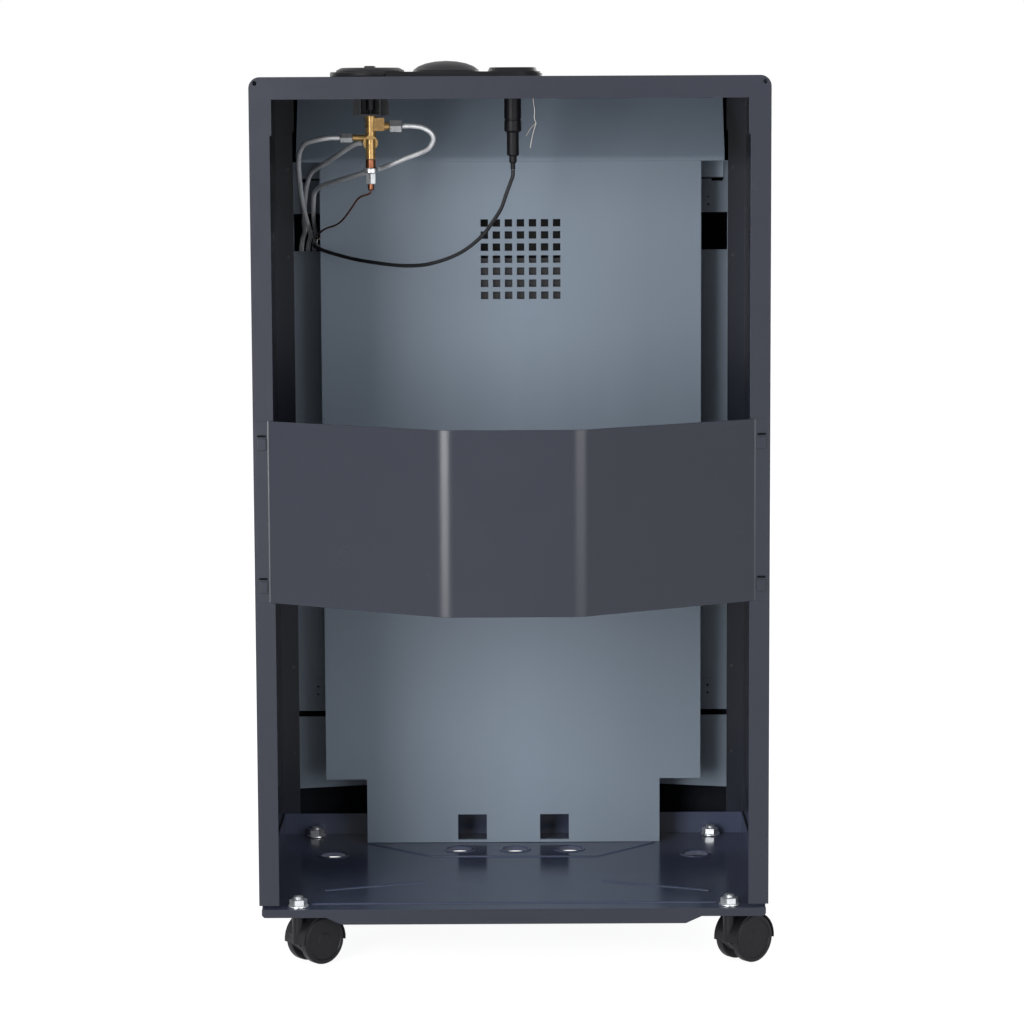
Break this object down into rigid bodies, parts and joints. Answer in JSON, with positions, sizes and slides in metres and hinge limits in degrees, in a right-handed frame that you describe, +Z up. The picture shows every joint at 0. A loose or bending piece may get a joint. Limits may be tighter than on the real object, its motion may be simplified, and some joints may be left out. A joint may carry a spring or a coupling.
{
  "type": "portable_gas_cabinet_heater",
  "caption": "Portable gas cabinet heater on swivel castors, rear cover off: dark sheet-metal case with cylinder bay, retaining band, valve, igniter and ceramic plaque burner behind a wire guard",
  "frame": {"origin": "on the floor, under the middle of the whole object's box", "axes": "+Z up, -Y the heated front, +Y the open rear, +X to the left of someone who looks into the rear"},
  "size_m": [0.4334, 0.4442, 0.7446],
  "materials": {
    "case_paint": "satin dark blue-grey enamel",
    "dark_paint": "satin near-black enamel",
    "shield_steel": "grey satin coat on sheet steel",
    "bright_steel": "zinc-plated steel",
    "brass": "turned brass, dulled",
    "aluminium": "drawn aluminium pipe",
    "black_plastic": "fine-grained black plastic",
    "lead_rubber": "black sleeve",
    "ceramic": "unglazed burner ceramic",
    "copper": "tarnished copper capillary"
  },
  "bodies": {
    "cabinet": {"cabinet_wrapper": "case_paint", "base_tray": "case_paint", "heat_shield": "shield_steel", "deflector": "shield_steel", "firebox_back_plate": "shield_steel", "lower_back_plate": "shield_steel", "front_surround": "case_paint", "lower_front_panel": "case_paint", "reflector": "bright_steel", "burner_box": "dark_paint", "ceramic_plaque_1": "ceramic", "ceramic_plaque_2": "ceramic", "ceramic_plaque_3": "ceramic", "plaque_frame": "shield_steel", "wire_guard": "bright_steel", "pilot_burner": "bright_steel", "control_bezel": "black_plastic", "knob_collar": "black_plastic", "valve_bracket": "dark_paint", "valve_body": "brass", "magnet_nut": "bright_steel", "outlet_nut_right": "bright_steel", "outlet_nut_left": "bright_steel", "burner_pipe_right": "aluminium", "burner_pipe_left": "aluminium", "burner_pipe_rear": "aluminium", "thermocouple_lead": "copper", "igniter_body": "black_plastic", "igniter_nut": "bright_steel", "igniter_lead": "lead_rubber", "castor_stem_rear_left": "bright_steel", "castor_nut_rear_left": "bright_steel", "castor_stem_rear_right": "bright_steel", "castor_nut_rear_right": "bright_steel", "castor_stem_front_left": "bright_steel", "castor_nut_front_left": "bright_steel", "castor_stem_front_right": "bright_steel", "castor_nut_front_right": "bright_steel"},
    "band": {"retaining_band": "case_paint"},
    "spindle": {"valve_spindle": "black_plastic"},
    "knob": {"gas_knob": "black_plastic"},
    "button": {"igniter_button": "black_plastic"},
    "castor_rear_left": {"castor_housing_rear_left": "black_plastic"},
    "wheel_a_rear_left": {"castor_wheel_a_rear_left": "black_plastic"},
    "wheel_b_rear_left": {"castor_wheel_b_rear_left": "black_plastic"},
    "castor_rear_right": {"castor_housing_rear_right": "black_plastic"},
    "wheel_a_rear_right": {"castor_wheel_a_rear_right": "black_plastic"},
    "wheel_b_rear_right": {"castor_wheel_b_rear_right": "black_plastic"},
    "castor_front_left": {"castor_housing_front_left": "black_plastic"},
    "wheel_a_front_left": {"castor_wheel_a_front_left": "black_plastic"},
    "wheel_b_front_left": {"castor_wheel_b_front_left": "black_plastic"},
    "castor_front_right": {"castor_housing_front_right": "black_plastic"},
    "wheel_a_front_right": {"castor_wheel_a_front_right": "black_plastic"},
    "wheel_b_front_right": {"castor_wheel_b_front_right": "black_plastic"}
  },
  "joints": [
    {"name": "band_lift", "type": "slide", "parent": "cabinet", "child": "band", "axis": [0, 0, 1], "range_m": [0, 0.008]},
    {"name": "knob_push", "type": "slide", "parent": "cabinet", "child": "spindle", "axis": [0, 0, -1], "range_m": [0, 0.003], "stiffness_N_per_m": 900},
    {"name": "knob_turn", "type": "hinge", "parent": "spindle", "child": "knob", "pos_m": [0.118, -0.01495, 0.737], "axis": [0, 0, 1], "range_deg": [0, 210]},
    {"name": "button_press", "type": "slide", "parent": "cabinet", "child": "button", "axis": [0, 0, -1], "range_m": [0, 0.005], "stiffness_N_per_m": 700},
    {"name": "swivel_rear_left", "type": "hinge", "parent": "cabinet", "child": "castor_rear_left", "pos_m": [0.1785, 0.12305, 0.03], "axis": [0, 0, 1], "continuous": true},
    {"name": "wheel_a_rear_left", "type": "hinge", "parent": "castor_rear_left", "child": "wheel_a_rear_left", "pos_m": [0.17171, 0.10469, 0.02], "axis": [0.6428, -0.766, 0], "continuous": true},
    {"name": "wheel_b_rear_left", "type": "hinge", "parent": "castor_rear_left", "child": "wheel_b_rear_left", "pos_m": [0.15924, 0.11955, 0.02], "axis": [0.6428, -0.766, 0], "continuous": true},
    {"name": "swivel_rear_right", "type": "hinge", "parent": "cabinet", "child": "castor_rear_right", "pos_m": [-0.1785, 0.12305, 0.03], "axis": [0, 0, 1], "continuous": true},
    {"name": "wheel_a_rear_right", "type": "hinge", "parent": "castor_rear_right", "child": "wheel_a_rear_right", "pos_m": [-0.18529, 0.10469, 0.02], "axis": [0.6428, -0.766, 0], "continuous": true},
    {"name": "wheel_b_rear_right", "type": "hinge", "parent": "castor_rear_right", "child": "wheel_b_rear_right", "pos_m": [-0.19776, 0.11955, 0.02], "axis": [0.6428, -0.766, 0], "continuous": true},
    {"name": "swivel_front_left", "type": "hinge", "parent": "cabinet", "child": "castor_front_left", "pos_m": [0.1785, -0.15295, 0.03], "axis": [0, 0, 1], "continuous": true},
    {"name": "wheel_a_front_left", "type": "hinge", "parent": "castor_front_left", "child": "wheel_a_front_left", "pos_m": [0.19776, -0.15645, 0.02], "axis": [0.6428, 0.766, 0], "continuous": true},
    {"name": "wheel_b_front_left", "type": "hinge", "parent": "castor_front_left", "child": "wheel_b_front_left", "pos_m": [0.18529, -0.17131, 0.02], "axis": [0.6428, 0.766, 0], "continuous": true},
    {"name": "swivel_front_right", "type": "hinge", "parent": "cabinet", "child": "castor_front_right", "pos_m": [-0.1785, -0.15295, 0.03], "axis": [0, 0, 1], "continuous": true},
    {"name": "wheel_a_front_right", "type": "hinge", "parent": "castor_front_right", "child": "wheel_a_front_right", "pos_m": [-0.15924, -0.15645, 0.02], "axis": [0.6428, 0.766, 0], "continuous": true},
    {"name": "wheel_b_front_right", "type": "hinge", "parent": "castor_front_right", "child": "wheel_b_front_right", "pos_m": [-0.17171, -0.17131, 0.02], "axis": [0.6428, 0.766, 0], "continuous": true}
  ]
}
